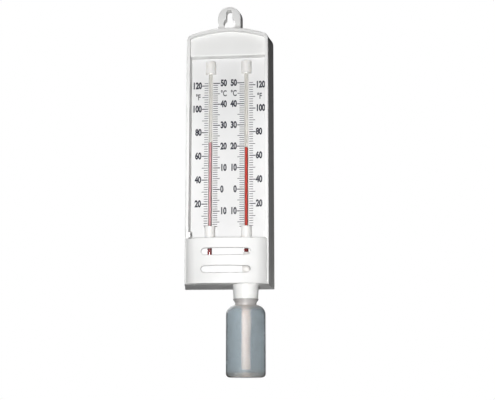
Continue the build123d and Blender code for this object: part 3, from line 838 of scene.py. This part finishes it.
def water_profile():
    """Water up into the shoulder, with its edge climbing the wall a little, over the base's dome."""
    low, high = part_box("bottle")
    radius = (high.x - low.x) / 2 - WATER_INSET
    foot = low.z + WATER_INSET
    dome_rows = [DOME_RADIUS * i / DOME_STEPS for i in range(DOME_STEPS + 1)]
    points = [(row, foot + DOME_HEIGHT * (1 - (row / DOME_RADIUS) ** 2)) for row in dome_rows]
    points += arc(radius - BASE_CORNER, foot + BASE_CORNER, BASE_CORNER, -90, 0, 6)[1:]
    wall_foot, wall_top = foot + BASE_CORNER, low.z + SHOULDER_BOTTOM
    points += [(radius, wall_foot + RING_GAP), (radius, wall_top - RING_GAP)]
    slant = WATER_INSET * math.sin(math.pi / 4)
    shoulder_point = (SHOULDER_POINT[0] - slant, low.z + SHOULDER_POINT[1] - slant)
    neck_foot = (NECK_RADIUS - WATER_INSET, low.z + NECK_BOTTOM)
    x, z, bend = circle_through((radius, wall_top), shoulder_point, neck_foot)
    end = math.degrees(math.asin((WATER_TOP - z) / bend))
    points += arc(x, z, bend, 0, end, 8)
    edge = points[-1][0]
    points += [(edge - MENISCUS_WIDTH, WATER_TOP - MENISCUS_DEPTH), (0.0, WATER_TOP - SURFACE_DEPTH)]
    return points


water_mesh = lathe(water_profile(), centre("bottle"), WATER_SEGMENTS)
water = mesh_piece("bottle_fill", water_mesh, MATERIALS["water"], "water")
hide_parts("water")


# Finishes of the CAD nodes -------------------------------------------------------------------------

for node in ("case_shell", "hanging_lug"):
    finish_with(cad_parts[node], MATERIALS["case"])
for node in ("scale_plate", "bulb_cover", "bottle_socket", "bottle"):
    finish_with(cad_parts[node], MATERIALS[node])
for side in SIDES:
    for place in ("top", "lower"):
        finish_with(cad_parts[f"{side}_{place}_holder"], MATERIALS["holder"])


# Stage, light and camera ---------------------------------------------------------------------------

FLOOR_SIZE = 1.2
FLOOR_DROP = 0.45
FLOOR_GLOW = 0.94
WORLD_STRENGTH = 0.018

# The camera was fitted to the photo. Its lens and sensor are in millimetres, and it is tilted up and
# turned to the left by these degrees.
SENSOR_WIDTH = 36.0
LENS = 67.53
CAMERA_PLACE = (0.0866, -0.7501, -0.2705)
CAMERA_TILT = 9.155
CAMERA_TURN = 5.483


def make_floor():
    """A pale floor well below the hung object."""
    bm = bmesh.new()
    bmesh.ops.create_grid(bm, x_segments=1, y_segments=1, size=FLOOR_SIZE)
    mesh = bpy.data.meshes.new("floor")
    bm.to_mesh(mesh)
    bm.free()
    floor = bpy.data.objects.new("floor", mesh)
    bpy.context.collection.objects.link(floor)
    floor.location = (0, 0, CAD_BOX[0][2] - FLOOR_DROP)
    shader = Shader("floor_pale", emission_color=(1, 1, 1, 1), emission_strength=FLOOR_GLOW)
    shader.colour(shader.noise(2.0, 2), (0.9, 0.9, 0.9), (0.93, 0.93, 0.93))
    shader.roughness(shader.noise(3.0), 0.75, 0.9)
    finish_with(floor, shader.material)
    # The glow makes the floor look pale. Hidden from these rays, it doesn't light the object from below.
    floor.visible_diffuse = False
    floor.visible_glossy = False


def area_light(name, position, target, size, power, spread):
    """A round lamp aimed at a place, with its diameter, its power in watts and its spread in degrees."""
    light = bpy.data.lights.new(name, "AREA")
    light.shape = "DISK"
    light.size = size
    light.energy = power
    light.spread = math.radians(spread)
    lamp = bpy.data.objects.new(name, light)
    bpy.context.collection.objects.link(lamp)
    lamp.location = position
    lamp.rotation_euler = (Vector(target) - Vector(position)).to_track_quat("-Z", "Y").to_euler()
    lamp.visible_transmission = False


def make_lights():
    """A lamp beside the camera as in the photo, two dim ones from low on the right, and two from behind."""
    middle = (0, -0.02, -0.11)
    lower_bottle = centre("bottle") - Vector((0, 0, 12 * MM))
    right_wall = (0.03, -0.015, -0.21)
    area_light("flash", (-0.02, -0.60, -0.228), middle, size=0.14, power=0.6, spread=70)
    area_light("low_fill", (0.36, -0.42, -0.38), lower_bottle, size=0.1, power=0.006, spread=14)
    area_light("side_fill", (0.5, -0.12, -0.40), right_wall, size=0.1, power=0.012, spread=40)
    area_light("top_fill", (-0.25, 0.35, 0.9), middle, size=0.5, power=1.4, spread=80)
    area_light("back_fill", (-0.7, 1.1, 0.35), middle, size=0.9, power=4.2, spread=90)


def make_world():
    """White to the camera, and a dim even light for everything else."""
    world = bpy.data.worlds.new("studio")
    bpy.context.scene.world = world
    world.use_nodes = True
    tree = world.node_tree
    ambient = tree.nodes["Background"]
    ambient.inputs["Color"].default_value = (1, 1, 1, 1)
    ambient.inputs["Strength"].default_value = WORLD_STRENGTH
    seen = tree.nodes.new("ShaderNodeBackground")
    seen.inputs["Color"].default_value = (1, 1, 1, 1)
    seen.inputs["Strength"].default_value = 1.0
    path = tree.nodes.new("ShaderNodeLightPath")
    mix = tree.nodes.new("ShaderNodeMixShader")
    tree.links.new(path.outputs["Is Camera Ray"], mix.inputs["Fac"])
    tree.links.new(ambient.outputs["Background"], mix.inputs[1])
    tree.links.new(seen.outputs["Background"], mix.inputs[2])
    tree.links.new(mix.outputs["Shader"], tree.nodes["World Output"].inputs["Surface"])


def make_camera():
    camera = bpy.data.cameras.new("camera")
    camera.sensor_width = SENSOR_WIDTH
    camera.lens = LENS
    camera.clip_start = 0.01
    eye = bpy.data.objects.new("camera", camera)
    bpy.context.collection.objects.link(eye)
    eye.location = CAMERA_PLACE
    eye.rotation_euler = (math.radians(90 + CAMERA_TILT), 0, math.radians(CAMERA_TURN))
    bpy.context.scene.camera = eye


make_floor()
make_lights()
make_world()
make_camera()
bpy.context.scene.view_settings.view_transform = "Standard"
